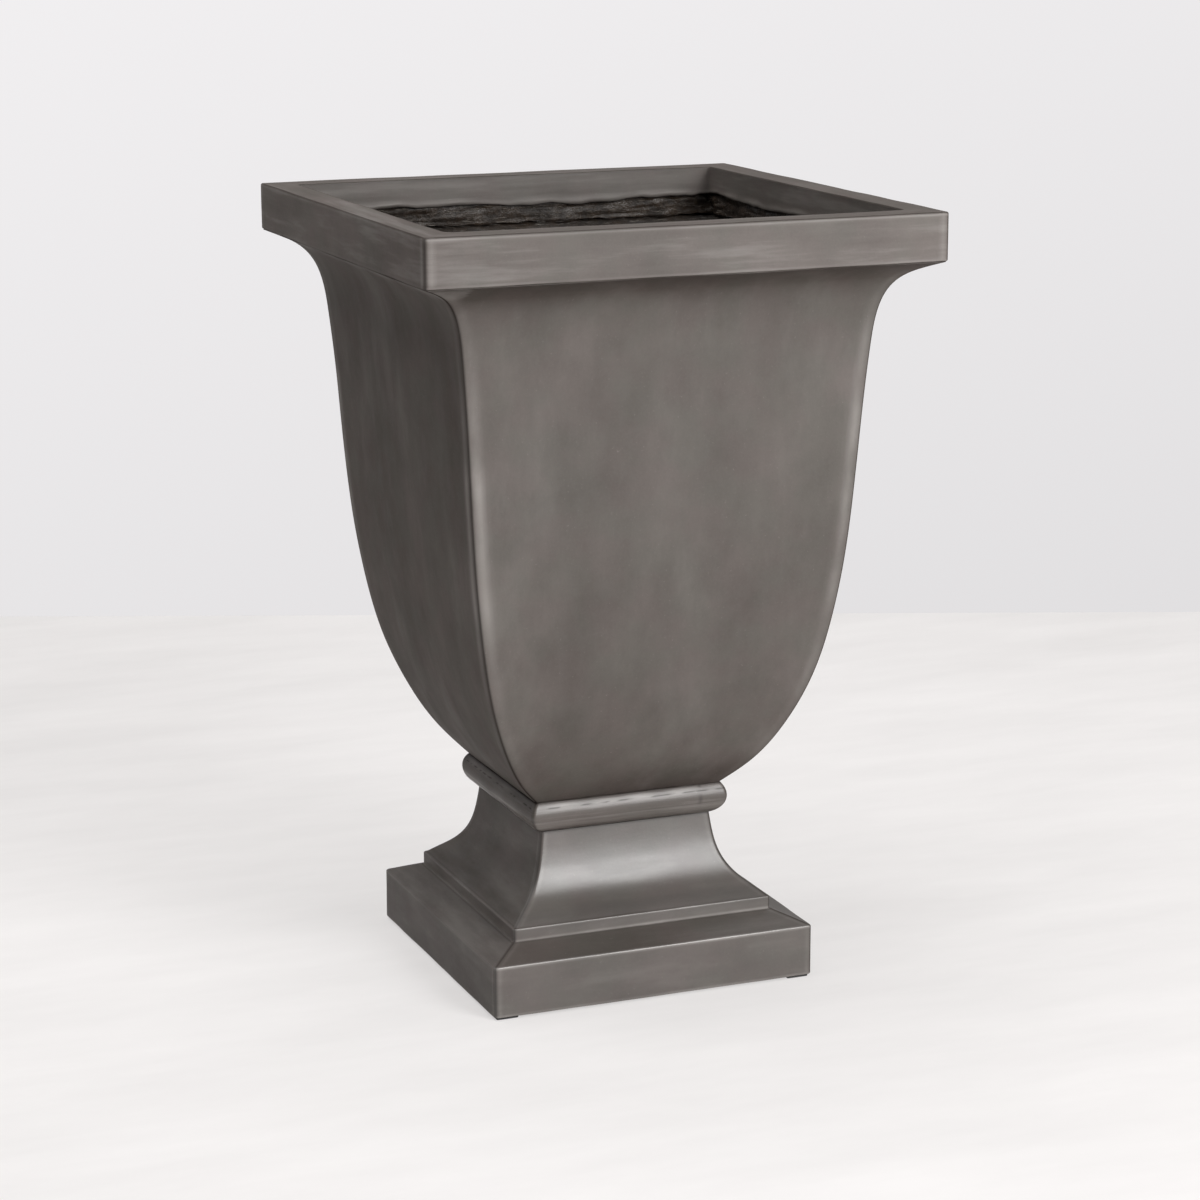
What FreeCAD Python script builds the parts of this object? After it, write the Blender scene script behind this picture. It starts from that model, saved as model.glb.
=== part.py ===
import FreeCAD, Part
import math
import os

# A square urn planter of glass-fibre laminate: a channel-shaped rim bonded to a thin bowl, and the bowl bolted
# down through a half-round collar onto a hollow pedestal. Millimetres. +Z is up, and the origin is the middle of
# the footprint on the ground. A square piece with curved sides is drawn by one side, as points of half width (x)
# and height (z) read from the bottom up. The side is run along X and along Y, and the piece is what both runs hold.

# Rim
rim_width = 510.0
rim_height = 46.0
rim_lip_width = 32.0
rim_band_depth = 30.0
rim_wall = 6.0
rim_corner_radius = 4.0
rim_mouth_radius = 7.0
rim_top_round = 2.5
rim_mouth_ease = 1.2
rim_foot_round = 1.5

# Laminate that bonds the rim to the bowl from inside
bond_recess = 4.4
bond_thickness = 4.0
bond_lap = 12.0
bond_foot_width = 10.0

# Bowl
bowl_height = 523.0
bowl_foot_width = 194.6
bowl_wall = 6.0
bowl_floor = 8.0
bowl_corner_radius = 4.0
belly_stations = [  # (height above the bowl's foot, half width)
    (24.0, 119.5),
    (63.7, 144.0),
    (114.0, 164.0),
    (187.0, 180.2),
    (283.0, 191.3),
]
flare_stations = [  # (distance in from the lip, distance below the lip)
    (56.0, 146.4),
    (50.3, 78.4),
    (45.0, 43.4),
    (38.0, 25.5),
    (28.6, 14.4),
    (15.5, 6.5),
]
lip_inset = 1.5
lip_edge = 0.6

# Collar
collar_height = 32.0
collar_bead_proud = 5.6
collar_fullest_height = 17.0
collar_corner_radius = 4.0

# Pedestal
neck_width = 178.6
cove_height = 79.0
cove_ledge = 1.7
cove_stations = [(7.0, 124.6), (19.2, 110.0), (33.0, 100.2), (56.5, 92.7)]  # (height above its foot, half width)
band_width = 270.0
band_height = 12.5
band_round = 1.5
shoulder_rise = 12.5
plinth_width = 332.0
plinth_height = 51.0
plinth_round = 2.0
pedestal_wall = 6.0
pedestal_flange = 8.0
pedestal_corner_radius = 4.0
foot_flange_width = 24.0
foot_flange_thickness = 6.0
drain_way_width = 120.0
drain_way_radius = 8.0

# Bolted joint through the neck
bolt_spacing = 140.0
bolt_diameter = 8.0
bolt_length = 65.0
bolt_hole_clearance = 0.5
bolt_head_across_flats = 13.0
bolt_head_height = 5.3
nut_height = 6.8
nut_bore_clearance = 0.05
washer_diameter = 16.0
washer_thickness = 1.6
washer_bore_clearance = 0.2
sealing_washer_diameter = 22.0
sealing_washer_thickness = 2.5

# Drain plug
drain_hole_diameter = 25.0
plug_clearance = 0.3
plug_cap_diameter = 38.0
plug_cap_edge = 2.5
plug_cap_crown = 2.0
plug_stem_below_floor = 12.0
plug_stem_taper = 1.5
plug_crown_inset = 7.0

# Pads that the plinth stands on
pad_thickness = 2.0
pad_width = 22.0
pad_inset = 14.0

# Heights of the joints between the pieces
plinth_foot_z = pad_thickness
shoulder_z = plinth_foot_z + plinth_height
band_z = shoulder_z + shoulder_rise
cove_z = band_z + band_height
collar_z = cove_z + cove_height
bowl_z = collar_z + collar_height
floor_z = bowl_z + bowl_floor
rim_z = bowl_z + bowl_height
top_z = rim_z + rim_height
flange_under_z = collar_z - pedestal_flange

CURVE_POINTS = 16
ARC_TOLERANCE = 0.3
LEVEL = 0.01


def point(half, height):
    return FreeCAD.Vector(half, 0, height)


def side_outline(spots):
    """Straight lines between (half width, height, corner radius) spots, with the corners rounded by their radii.
    The first and last spots only say which way the outline comes in and leaves."""
    edges = []
    start = None
    for before, spot, after in zip(spots, spots[1:], spots[2:]):
        corner = point(spot[0], spot[1])
        back = (point(before[0], before[1]) - corner).normalize()
        onward = (point(after[0], after[1]) - corner).normalize()
        bend = back.getAngle(onward) / 2
        reach = spot[2] / math.tan(bend)
        if start:
            edges.append(Part.LineSegment(start, corner + back * reach).toShape())
        if spot[2]:
            middle = corner + (back + onward).normalize() * (spot[2] / math.sin(bend) - spot[2])
            edges.append(Part.Arc(corner + back * reach, middle, corner + onward * reach).toShape())
        start = corner + onward * reach
    return edges


def side_curve(stations, wall):
    """A smooth curve through the stations, moved square to itself inwards by a wall, as tangent arcs."""
    curve = Part.BSplineCurve()
    curve.interpolate(stations)
    if wall:
        moved = []
        for spot in curve.discretize(Number=CURVE_POINTS):
            tangent = curve.tangent(curve.parameter(spot))[0]
            moved.append(spot + FreeCAD.Vector(-tangent.z, 0, tangent.x) * wall)
        curve.interpolate(moved)
    return [arc.toShape() for arc in curve.toBiArcs(ARC_TOLERANCE)]


def square_body(side):
    """What one side holds when it is run along X and along Y."""
    foot = side[0].Vertexes[0].Point
    head = side[-1].Vertexes[-1].Point
    mirrored = [edge.mirror(FreeCAD.Vector(), FreeCAD.Vector(1, 0, 0)) for edge in side]
    base = Part.LineSegment(point(-foot.x, foot.z), foot).toShape()
    lid = Part.LineSegment(head, point(-head.x, head.z)).toShape()
    front = Part.Face(Part.Wire(Part.__sortEdges__(side + mirrored + [base, lid])))
    reach = 2 * front.BoundBox.XMax
    front.translate(FreeCAD.Vector(0, -reach, 0))
    along_y = front.extrude(FreeCAD.Vector(0, 2 * reach, 0))
    along_x = along_y.rotated(FreeCAD.Vector(), FreeCAD.Vector(0, 0, 1), 90)
    return along_y.common(along_x)


def eased(body, corner_radius):
    """The body with its four upright corners planed off as deep as that radius would round them."""
    corners = []
    for edge in body.Edges:
        ends = [vertex.Point for vertex in edge.Vertexes]
        on_corner = all(abs(abs(end.x) - abs(end.y)) < LEVEL for end in ends)
        if on_corner and abs(ends[0].z - ends[-1].z) > LEVEL:
            corners.append(edge)
    return body.makeChamfer(corner_radius * (2 - math.sqrt(2)), corners)


def square_ring(half, height, radius):
    """A level square with rounded corners, as a wire."""
    straight = half - radius
    bend = straight + radius * math.cos(math.radians(45))
    edges = []
    for quarter in range(4):
        turn = FreeCAD.Rotation(FreeCAD.Vector(0, 0, 1), 90 * quarter)
        side_start = turn.multVec(FreeCAD.Vector(half, -straight, height))
        side_end = turn.multVec(FreeCAD.Vector(half, straight, height))
        corner_middle = turn.multVec(FreeCAD.Vector(bend, bend, height))
        corner_end = turn.multVec(FreeCAD.Vector(straight, half, height))
        edges.append(Part.LineSegment(side_start, side_end).toShape())
        edges.append(Part.Arc(side_end, corner_middle, corner_end).toShape())
    return Part.Wire(edges)


def square_block(half, bottom, top, radius):
    """An upright square block with rounded corners."""
    return Part.Face(square_ring(half, bottom, radius)).extrude(FreeCAD.Vector(0, 0, top - bottom))


def upright(diameter, bottom, top):
    """A round bar along Z."""
    return Part.makeCylinder(diameter / 2, top - bottom, FreeCAD.Vector(0, 0, bottom))


def hexagon(across_flats, bottom, top):
    """A hexagonal prism, as a bolt's head or a nut."""
    reach = across_flats / 2 / math.cos(math.radians(30))
    corners = []
    for side in range(7):
        angle = math.radians(60 * side)
        corners.append(FreeCAD.Vector(reach * math.cos(angle), reach * math.sin(angle), bottom))
    return Part.Face(Part.makePolygon(corners)).extrude(FreeCAD.Vector(0, 0, top - bottom))


def at_corners(solid, spacing):
    """Four copies of a solid on the Z axis, moved to the corners of a square of that spacing."""
    copies = []
    for across in (-spacing / 2, spacing / 2):
        for along in (-spacing / 2, spacing / 2):
            copies.append(solid.translated(FreeCAD.Vector(across, along, 0)))
    return Part.makeCompound(copies)


def bolt_holes(bottom, top):
    return at_corners(upright(bolt_diameter + 2 * bolt_hole_clearance, bottom, top), bolt_spacing)


def rim_frame():
    """The rim: an upside-down channel carried round the square, with its inner leg shorter than its outer one."""
    outer = rim_width / 2
    mouth = outer - rim_lip_width
    side = [(0, rim_z, 0), (outer, rim_z, rim_foot_round), (outer, top_z, rim_top_round), (0, top_z, 0)]
    rim = square_body(side_outline(side)).common(square_block(outer, rim_z, top_z, rim_corner_radius))
    rim = rim.cut(square_block(mouth, rim_z, top_z, rim_mouth_radius))
    ease_foot = square_ring(mouth, top_z - rim_mouth_ease, rim_mouth_radius)
    ease_head = square_ring(mouth + rim_mouth_ease, top_z, rim_mouth_radius + rim_mouth_ease)
    rim = rim.cut(Part.makeLoft([ease_foot, ease_head], True, True))
    inner_leg = square_block(mouth + rim_wall, top_z - rim_band_depth, top_z - rim_wall, rim_mouth_radius + rim_wall)
    hollow = square_block(outer - rim_wall, rim_z, top_z - rim_wall, rim_mouth_radius)
    return rim.cut(hollow.cut(inner_leg))


def bowl_body(wall):
    """The bowl's ogee body, belly and flare in one smooth side, as it is outside or a wall's thickness further in."""
    lip = point(rim_width / 2 - lip_inset, rim_z - lip_edge)
    stations = [point(bowl_foot_width / 2, bowl_z)]
    for height, half in belly_stations:
        stations.append(point(half, bowl_z + height))
    for inwards, below in flare_stations:
        stations.append(lip - point(inwards, below))
    run_out = (lip - stations[-1]).normalize() * bowl_wall
    return square_body(side_curve(stations + [lip, lip + run_out], wall))


def bowl_cavity():
    """The space inside the bowl, from its floor up."""
    return bowl_body(bowl_wall).common(square_block(rim_width, floor_z, top_z, rim_corner_radius))


def bowl_shell():
    """The body trimmed to the lip, hollowed, and drilled through its floor for the drain and the bolts."""
    trimmed = square_block(rim_width / 2 - lip_inset, bowl_z, rim_z, rim_corner_radius)
    bowl = eased(bowl_body(0), bowl_corner_radius).common(trimmed).cut(bowl_cavity())
    bowl = bowl.cut(upright(drain_hole_diameter, bowl_z, floor_z))
    return bowl.cut(bolt_holes(bowl_z, floor_z))


def rim_bond_laminate():
    """A ring of laminate behind the rim's inner leg, whose foot spreads over the inside of the bowl's flare."""
    face = rim_width / 2 - rim_lip_width + bond_recess
    leg_back = rim_width / 2 - rim_lip_width + rim_wall
    leg_foot_z = top_z - rim_band_depth
    low_z = rim_z - bond_foot_width
    face_radius = rim_mouth_radius + bond_recess
    foot = square_block(leg_back + bond_thickness + bond_foot_width, low_z, rim_z + bond_thickness, face_radius)
    ring = square_block(leg_back + bond_thickness, low_z, leg_foot_z + bond_lap, face_radius).fuse(foot)
    ring = ring.cut(square_block(face, low_z, leg_foot_z, face_radius))
    ring = ring.cut(square_block(leg_back, leg_foot_z, top_z, rim_mouth_radius + rim_wall))
    over_lip = ring.common(square_block(rim_width, rim_z, top_z, face_radius))
    return over_lip.fuse(ring.common(bowl_cavity())).removeSplitter()


def neck_collar():
    """A half-round bead with flat beds, as wide as the pedestal's neck below and as the bowl's foot above."""
    foot = point(neck_width / 2, collar_z)
    fullest = point(max(neck_width, bowl_foot_width) / 2 + collar_bead_proud, collar_z + collar_fullest_height)
    head = point(bowl_foot_width / 2, bowl_z)
    collar = eased(square_body([Part.Arc(foot, fullest, head).toShape()]), collar_corner_radius)
    collar = collar.cut(square_block(drain_way_width / 2, collar_z, bowl_z, drain_way_radius))
    return collar.cut(bolt_holes(collar_z, bowl_z))


def cove_body(wall):
    """The hollow curve between the band and the neck."""
    stations = [point(band_width / 2 - cove_ledge, cove_z)]
    for height, half in cove_stations:
        stations.append(point(half, cove_z + height))
    return square_body(side_curve(stations + [point(neck_width / 2, collar_z)], wall))


def pedestal_solid():
    """Plinth and sloped shoulder, upright band, and cove, each with its own eased corners."""
    plinth = plinth_width / 2
    band = band_width / 2
    plinth_side = [
        (0, plinth_foot_z, 0),
        (plinth, plinth_foot_z, plinth_round),
        (plinth, shoulder_z, plinth_round),
        (band, band_z, 0),
        (0, band_z, 0),
    ]
    band_side = [(0, band_z, 0), (band, band_z, 0), (band, cove_z, band_round), (0, cove_z, 0)]
    plinth_block = square_block(plinth, plinth_foot_z, band_z, pedestal_corner_radius)
    band_block = square_block(band, band_z, cove_z, pedestal_corner_radius)
    body = square_body(side_outline(plinth_side)).common(plinth_block)
    body = body.fuse(square_body(side_outline(band_side)).common(band_block))
    return body.fuse(eased(cove_body(0), pedestal_corner_radius)).removeSplitter()


def pedestal_cavity():
    """The space inside the pedestal, between the flange at its top and the one at its foot."""
    plinth = plinth_width / 2 - pedestal_wall
    band = band_width / 2 - pedestal_wall
    slope = math.atan2(shoulder_rise, plinth - band)
    lowered = pedestal_wall * math.tan(slope) - pedestal_wall / math.cos(slope)
    foot = plinth_foot_z + foot_flange_thickness
    cove = cove_body(pedestal_wall)
    cove_foot_z = cove.BoundBox.ZMin
    side = [
        (0, foot, 0),
        (plinth, foot, 0),
        (plinth, shoulder_z + lowered, 0),
        (band, band_z + lowered, 0),
        (band, cove_foot_z, 0),
        (0, cove_foot_z, 0),
    ]
    under_flange = square_block(plinth, foot, flange_under_z, pedestal_corner_radius)
    return square_body(side_outline(side)).fuse(cove).common(under_flange)


def pedestal_shell():
    """A hollow shell with an inward flange at its top, for the bolts, and another at its foot, for the pads."""
    opening = square_block(plinth_width / 2 - foot_flange_width, plinth_foot_z, shoulder_z, pedestal_corner_radius)
    drain_way = square_block(drain_way_width / 2, flange_under_z, collar_z, drain_way_radius)
    pedestal = pedestal_solid().cut(pedestal_cavity()).cut(opening)
    return pedestal.cut(drain_way).cut(bolt_holes(flange_under_z, collar_z))


def ring_of(diameter, bore, bottom, thickness):
    """A flat round washer."""
    return upright(diameter, bottom, bottom + thickness).cut(upright(bore, bottom, bottom + thickness))


def joint_bolts():
    under_head = floor_z + sealing_washer_thickness
    shank = upright(bolt_diameter, under_head - bolt_length, under_head)
    head = hexagon(bolt_head_across_flats, under_head, under_head + bolt_head_height)
    return at_corners(shank.fuse(head), bolt_spacing)


def joint_sealing_washers():
    bore = bolt_diameter + 2 * washer_bore_clearance
    return at_corners(ring_of(sealing_washer_diameter, bore, floor_z, sealing_washer_thickness), bolt_spacing)


def joint_washers():
    bore = bolt_diameter + 2 * washer_bore_clearance
    washer = ring_of(washer_diameter, bore, flange_under_z - washer_thickness, washer_thickness)
    return at_corners(washer, bolt_spacing)


def joint_nuts():
    top = flange_under_z - washer_thickness
    nut = hexagon(bolt_head_across_flats, top - nut_height, top)
    return at_corners(nut.cut(upright(bolt_diameter + 2 * nut_bore_clearance, top - nut_height, top)), bolt_spacing)


def drain_plug():
    """A rubber stopper: a crowned cap over a tapered stem that reaches through the floor."""
    stem = drain_hole_diameter / 2 - plug_clearance
    cap = plug_cap_diameter / 2
    cap_z = floor_z + plug_clearance
    edge_z = cap_z + plug_cap_edge
    tip_z = bowl_z - plug_stem_below_floor
    side = [
        point(0, tip_z),
        point(stem - plug_stem_taper, tip_z),
        point(stem, cap_z),
        point(cap, cap_z),
        point(cap, edge_z),
        point(cap - plug_crown_inset, edge_z + plug_cap_crown),
        point(0, edge_z + plug_cap_crown),
    ]
    profile = Part.Face(Part.makePolygon(side + side[:1]))
    return profile.revolve(FreeCAD.Vector(), FreeCAD.Vector(0, 0, 1), 360)


def foot_pads():
    pad = Part.makeBox(pad_width, pad_width, pad_thickness, FreeCAD.Vector(-pad_width / 2, -pad_width / 2, 0))
    return at_corners(pad, plinth_width - 2 * pad_inset)


NODES = [
    rim_frame,
    rim_bond_laminate,
    bowl_shell,
    neck_collar,
    pedestal_shell,
    joint_bolts,
    joint_sealing_washers,
    joint_washers,
    joint_nuts,
    drain_plug,
    foot_pads,
]

os.makedirs("parts", exist_ok=True)
for build in NODES:
    shape = build()
    shape.exportStep("parts/" + build.__name__ + ".step")
    print(build.__name__, "solids", len(shape.Solids), "volume", round(shape.Volume))
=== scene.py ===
"""Looks of a square urn planter: rim, bond, bowl, collar, pedestal, neck bolts, drain plug and pads."""
import bmesh
import bpy
import math
import numpy as np
from mathutils import Matrix, Vector


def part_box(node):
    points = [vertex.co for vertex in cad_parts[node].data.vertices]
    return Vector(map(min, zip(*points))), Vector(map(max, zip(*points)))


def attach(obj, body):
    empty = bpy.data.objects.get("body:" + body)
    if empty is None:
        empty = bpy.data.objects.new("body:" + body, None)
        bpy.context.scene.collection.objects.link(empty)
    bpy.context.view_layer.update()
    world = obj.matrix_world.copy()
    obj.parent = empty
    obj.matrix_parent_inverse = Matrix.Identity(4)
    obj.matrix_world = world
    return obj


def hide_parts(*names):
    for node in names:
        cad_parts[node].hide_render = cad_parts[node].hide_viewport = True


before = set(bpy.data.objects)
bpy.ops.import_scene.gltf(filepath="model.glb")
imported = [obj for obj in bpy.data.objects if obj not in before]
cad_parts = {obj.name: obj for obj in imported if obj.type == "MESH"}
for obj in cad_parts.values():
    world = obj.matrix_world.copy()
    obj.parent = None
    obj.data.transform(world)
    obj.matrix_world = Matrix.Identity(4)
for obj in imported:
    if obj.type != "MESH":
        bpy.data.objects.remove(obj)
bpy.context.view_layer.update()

# ------------------------------------------------------------------------------
# The view: a long lens about three metres away, left of the front face and a little above the rim, so the
# mouth, the front and the left side all show.
camera_place = (-1.1469, -2.8931, 1.0889)
camera_pan, camera_tilt, camera_roll = (math.radians(angle) for angle in (21.78, 13.18, 0.223))
camera_lens, camera_sensor = 97.06, 36.0

camera = bpy.data.objects.new("camera", bpy.data.cameras.new("camera"))
camera.data.lens = camera_lens
camera.data.sensor_width = camera_sensor
camera.matrix_world = (
    Matrix.Translation(camera_place)
    @ Matrix.Rotation(-camera_pan, 4, "Z")
    @ Matrix.Rotation(math.pi / 2 - camera_tilt, 4, "X")
    @ Matrix.Rotation(-camera_roll, 4, "Z")
)
bpy.context.scene.collection.objects.link(camera)
bpy.context.scene.camera = camera
bpy.context.scene.view_settings.view_transform = "Standard"

# ------------------------------------------------------------------------------
# The studio: a pale brushed floor and a white wall square to the view, both matt. Their own paint keeps
# them pale for the camera, and over half of the floor's light is its paint, so that the planter's shadow on
# it stays soft.
floor_reach = 24.0
floor_colour = (0.985, 0.96, 0.95)
floor_own_light, floor_shade = 0.56, 0.76
floor_streaks, floor_streak_depth = (1.2, 4.0, 1.0), 0.045
wall_distance, wall_width, wall_height = 4.56, 12.0, 5.0
wall_colour, wall_shade = (0.84, 0.825, 0.835), (0.30, 0.29, 0.29)
# The wall's own glow is painted brighter towards the top and a little towards the left: a painted fall-off of
# light.
wall_fall, wall_level = (-0.028, 0.011, 0.11), 0.925


def add(tree, kind, inputs=None, **settings):
    """A shader node of that kind, with its settings made and its inputs set or joined to a socket."""
    made = tree.nodes.new("ShaderNode" + kind)
    for key, value in settings.items():
        setattr(made, key, value)
    for key, value in (inputs or {}).items():
        if isinstance(value, bpy.types.NodeSocket):
            tree.links.new(value, made.inputs[key])
        else:
            made.inputs[key].default_value = value
    return made


def blank(name):
    """A material with an empty node tree, and its output node."""
    material = bpy.data.materials.new(name)
    material.use_nodes = True
    material.node_tree.nodes.clear()
    return material, material.node_tree, material.node_tree.nodes.new("ShaderNodeOutputMaterial")


def calc(tree, operation, first, second=0.0):
    """One step of arithmetic on sockets or numbers."""
    return add(tree, "Math", {0: first, 1: second}, operation=operation).outputs[0]


def span(tree, value, low, high, first=0.0, last=1.0):
    """The value's place between low and high, kept within them, as a number from first to last."""
    ends = {"Value": value, "From Min": low, "From Max": high, "To Min": first, "To Max": last}
    return add(tree, "MapRange", ends).outputs[0]


def mixed(tree, share, first, second, blend="MIX"):
    """The colour a share of the way from the first colour to the second, each a socket or three numbers."""
    ends = [value if isinstance(value, bpy.types.NodeSocket) else (*value, 1) for value in (first, second)]
    inputs = {0: share, 6: ends[0], 7: ends[1]}
    return add(tree, "Mix", inputs, data_type="RGBA", blend_type=blend).outputs[2]


def noise(tree, place, scale, detail=4.0, roughness=0.55):
    """Noise of that many patches a metre, between about 0.3 and 0.7."""
    inputs = {"Vector": place, "Scale": scale, "Detail": detail, "Roughness": roughness}
    return add(tree, "TexNoise", inputs).outputs[0]


def stage_sheet(name, corners, material):
    """One four-cornered sheet of the studio, which isn't part of the object."""
    mesh = bpy.data.meshes.new(name)
    mesh.from_pydata(corners, [], [(0, 1, 2, 3)])
    mesh.materials.append(material)
    sheet = bpy.data.objects.new(name, mesh)
    bpy.context.scene.collection.objects.link(sheet)


def shown_to_eye(tree):
    """One for what the camera sees, straight or in a glossy surface, and nought for scattered light."""
    rays = add(tree, "LightPath").outputs
    direct = calc(tree, "MAXIMUM", rays["Is Camera Ray"], rays["Is Glossy Ray"])
    return calc(tree, "MAXIMUM", direct, rays["Is Transmission Ray"])


floor_paint, tree, output = blank("floor_paint")
place = add(tree, "TexCoord").outputs["Object"]
laid = add(tree, "Mapping", {"Vector": place, "Rotation": (0, 0, camera_pan), "Scale": floor_streaks})
cloud = noise(tree, laid.outputs[0], 2.2, 6.0, 0.62)
streak = span(tree, cloud, 0.25, 0.75, 1 - floor_streak_depth, 1 + floor_streak_depth)
tint = add(tree, "VectorMath", {0: floor_colour, "Scale": streak}, operation="SCALE").outputs[0]
shade = add(tree, "VectorMath", {0: tint, "Scale": floor_shade}, operation="SCALE").outputs[0]
lit = add(tree, "BsdfDiffuse", {"Color": shade})
own = add(tree, "Emission", {"Color": tint, "Strength": 1.0})
share = calc(tree, "MULTIPLY", shown_to_eye(tree), floor_own_light)
shown = add(tree, "MixShader", {0: share, 1: lit.outputs[0], 2: own.outputs[0]})
tree.links.new(shown.outputs[0], output.inputs["Surface"])
floor_corners = [(x * floor_reach, y * floor_reach, 0) for x, y in ((-1, -1), (1, -1), (1, 1), (-1, 1))]
stage_sheet("floor", floor_corners, floor_paint)

wall_paint, tree, output = blank("wall_paint")
place = add(tree, "TexCoord").outputs["Object"]
fall = add(tree, "VectorMath", {0: place, 1: wall_fall}, operation="DOT_PRODUCT").outputs["Value"]
own = add(tree, "Emission", {"Color": (*wall_colour, 1), "Strength": calc(tree, "ADD", fall, wall_level)})
lit = add(tree, "BsdfDiffuse", {"Color": (*wall_shade, 1)})
shown = add(tree, "MixShader", {0: shown_to_eye(tree), 1: lit.outputs[0], 2: own.outputs[0]})
tree.links.new(shown.outputs[0], output.inputs["Surface"])
view_out = np.array([math.sin(camera_pan), math.cos(camera_pan), 0])
view_right = np.array([math.cos(camera_pan), -math.sin(camera_pan), 0])
wall_foot = np.array([camera_place[0], camera_place[1], 0]) + view_out * wall_distance
wall_left = wall_foot - view_right * wall_width / 2
wall_right = wall_foot + view_right * wall_width / 2
rise = np.array([0, 0, wall_height])
stage_sheet("wall", [wall_left, wall_right, wall_right + rise, wall_left + rise], wall_paint)

# ------------------------------------------------------------------------------
# The lamps: a tall softbox at the front right, which makes the bright band across the cove and the collar,
# a wide one overhead, and a dim room. The left side gets little more than the floor's light.
lamps = {
    "front_softbox": {"at": (1.10, -2.58, 1.62), "to": (0.0, 0.0, 0.42), "size": (1.3, 2.7), "watts": 92.0},
    "ceiling_softbox": {"at": (-0.6, 0.1, 3.30), "to": (0.0, 0.0, 0.42), "size": (2.6, 2.6), "watts": 80.0},
}
room_colour, room_strength = (0.96, 0.97, 1.0), 0.09

for lamp_name, lamp in lamps.items():
    light = bpy.data.lights.new(lamp_name, "AREA")
    light.shape = "RECTANGLE"
    light.size, light.size_y = lamp["size"]
    light.energy = lamp["watts"]
    holder = bpy.data.objects.new(lamp_name, light)
    aim = Vector(lamp["at"]) - Vector(lamp["to"])
    holder.matrix_world = Matrix.Translation(lamp["at"]) @ aim.to_track_quat("Z", "Y").to_matrix().to_4x4()
    bpy.context.scene.collection.objects.link(holder)

world = bpy.data.worlds.new("room")
world.use_nodes = True
world.node_tree.nodes["Background"].inputs["Color"].default_value = (*room_colour, 1)
world.node_tree.nodes["Background"].inputs["Strength"].default_value = room_strength
bpy.context.scene.world = world

# ------------------------------------------------------------------------------
# Rim: an upside-down channel of glass-fibre laminate, moulded in one piece. Its edges carry pale lines, part
# wear and part painted highlight, and dark lines of painted shade, and its inner leg ends in a ragged
# hand-trimmed edge with a rolled lip of gel coat. It is bonded to the bowl's lip.
rim_low, rim_high = (np.array(corner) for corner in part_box("rim_frame"))
rim_half, rim_floor, rim_top = rim_high[0], rim_low[2], rim_high[2]
rim_lip_width, rim_leg_depth, rim_wall = 0.032, 0.030, 0.006
rim_corner, mouth_corner = 0.0042, 0.0070
mouth_softness = (0.45, 0.45, 1.40, 0.70)
rim_top_round, rim_mouth_round, rim_foot_round = 0.0022, 0.0016, 0.0018
trim_wave, trim_wave_length, trim_wave_start = 0.0014, 0.32, 0.29
trim_raggedness, trim_lip = 0.0007, 0.0011
dip_depth = 0.00018
rim_streaks = (6.0, 6.0, 60.0)
wax_dark, wax_light = (0.080, 0.068, 0.061), (0.135, 0.118, 0.108)
# The pale colour next is laid on real wear and on painted highlights; the dark one on real marks and on
# painted shade.
pale_wear_and_light, shade_and_grime_dark, chalky = (0.34, 0.315, 0.295), (0.026, 0.020, 0.017), (0.22, 0.20, 0.188)
cool_tint, warm_tint = (0.975, 1.006, 0.975), (1.02, 0.992, 0.985)
# The level share darkens faces that look up, as painted shade.
cloud_share, brush_share, fleck_share, level_shade_share = 0.62, 0.38, 0.10, 0.30
sheen_full_to, sheen_gone_from, sheen_least = 0.22, 0.52, 0.05

side_steps = (np.sin(np.linspace(-math.pi / 2, math.pi / 2, 61))[:-1] + 1) / 2
corner_steps = np.linspace(0, math.pi / 2, 9)[:-1]


def arc(centre, radius, start, end, count=7):
    """Points (half width, height) on a circle about the centre, from one angle in degrees to another."""
    angle = np.radians(np.linspace(start, end, count))
    return np.column_stack([centre[0] + radius * np.cos(angle), centre[1] + radius * np.sin(angle)])


def straight(start, end, gap=0.005):
    """Points on a straight line, no more than a gap apart."""
    start, end = np.array(start), np.array(end)
    count = max(2, int(np.linalg.norm(end - start) / gap) + 2)
    return start + (end - start) * np.linspace(0, 1, count)[:, None]


def outline(*stretches):
    """A closed outline as rows of half width, height and corner radius. Each stretch is points and the
    radius of the corners there, from one number or from two for its ends, or points, radius and True where
    the corners' centre stays as the half width changes, as at the round of an edge. Repeated points are
    dropped."""
    rows = []
    for points, corner, *centred in stretches:
        ends = np.broadcast_to(corner, 2)
        radius = points[:, 0] - corner if centred else np.linspace(ends[0], ends[1], len(points))
        rows.append(np.column_stack([points, radius]))
    rows = np.vstack(rows)
    step = np.linalg.norm(rows[:, :2] - np.roll(rows[:, :2], 1, axis=0), axis=1)
    return rows[step > 1e-6]


def carried_round(rows, softness=1.0):
    """The outline carried round a square. On each of four sides, the ring runs straight between the corner
    radii and then round a quarter circle of the next corner's radius, which is the outline's radius times
    that corner's softness. Each side is the one before turned by a quarter turn."""
    half, height, corner = rows.T[..., None]
    softness = np.broadcast_to(softness, (len(rows), 4))
    x, y = [], []
    for turn in range(4):
        before, after = corner * softness[:, turn - 1, None], corner * softness[:, turn, None]
        along = before - half + (2 * half - before - after) * side_steps
        across = half + 0 * along
        along = np.hstack([along, half - after + after * np.sin(corner_steps)])
        across = np.hstack([across, half - after + after * np.cos(corner_steps)])
        cos, sin = round(math.cos(turn * math.pi / 2)), round(math.sin(turn * math.pi / 2))
        x.append(across * cos - along * sin)
        y.append(across * sin + along * cos)
    return np.stack([np.hstack(x), np.hstack(y), height + 0 * np.hstack(x)], axis=2)


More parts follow.
